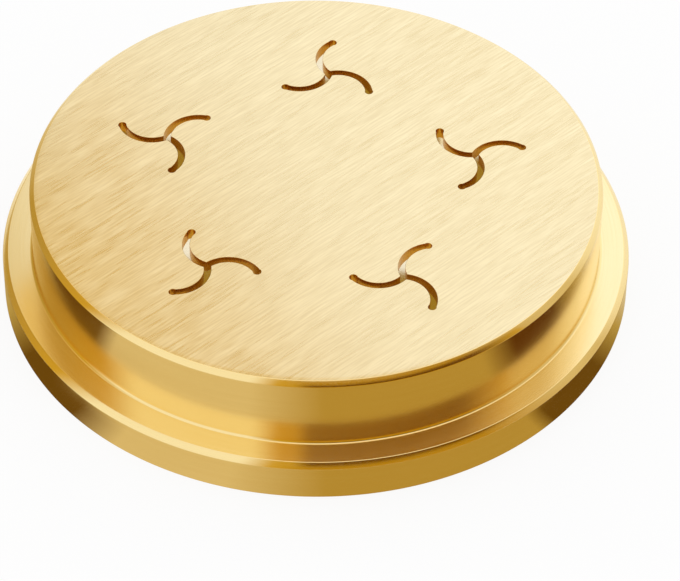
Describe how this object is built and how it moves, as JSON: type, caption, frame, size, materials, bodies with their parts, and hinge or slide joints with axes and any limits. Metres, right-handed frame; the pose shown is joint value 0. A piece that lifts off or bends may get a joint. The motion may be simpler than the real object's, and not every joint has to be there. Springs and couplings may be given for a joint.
{
  "type": "pasta extrusion die",
  "caption": "Turned brass pasta extrusion die: round face with three-armed swirl slots that shape twisted pasta, and a stepped clamping flange at the back.",
  "frame": {"origin": "centre of the flat back face, on the die's axis", "axes": "+Z along the die's axis, from the back to the slotted face; one swirl's centre lies on +Y"},
  "size_m": [0.062, 0.062, 0.012],
  "materials": {
    "brass": "turned, with a straight brushed face"
  },
  "bodies": {
    "root": {"die_body": "brass"}
  },
  "joints": []
}
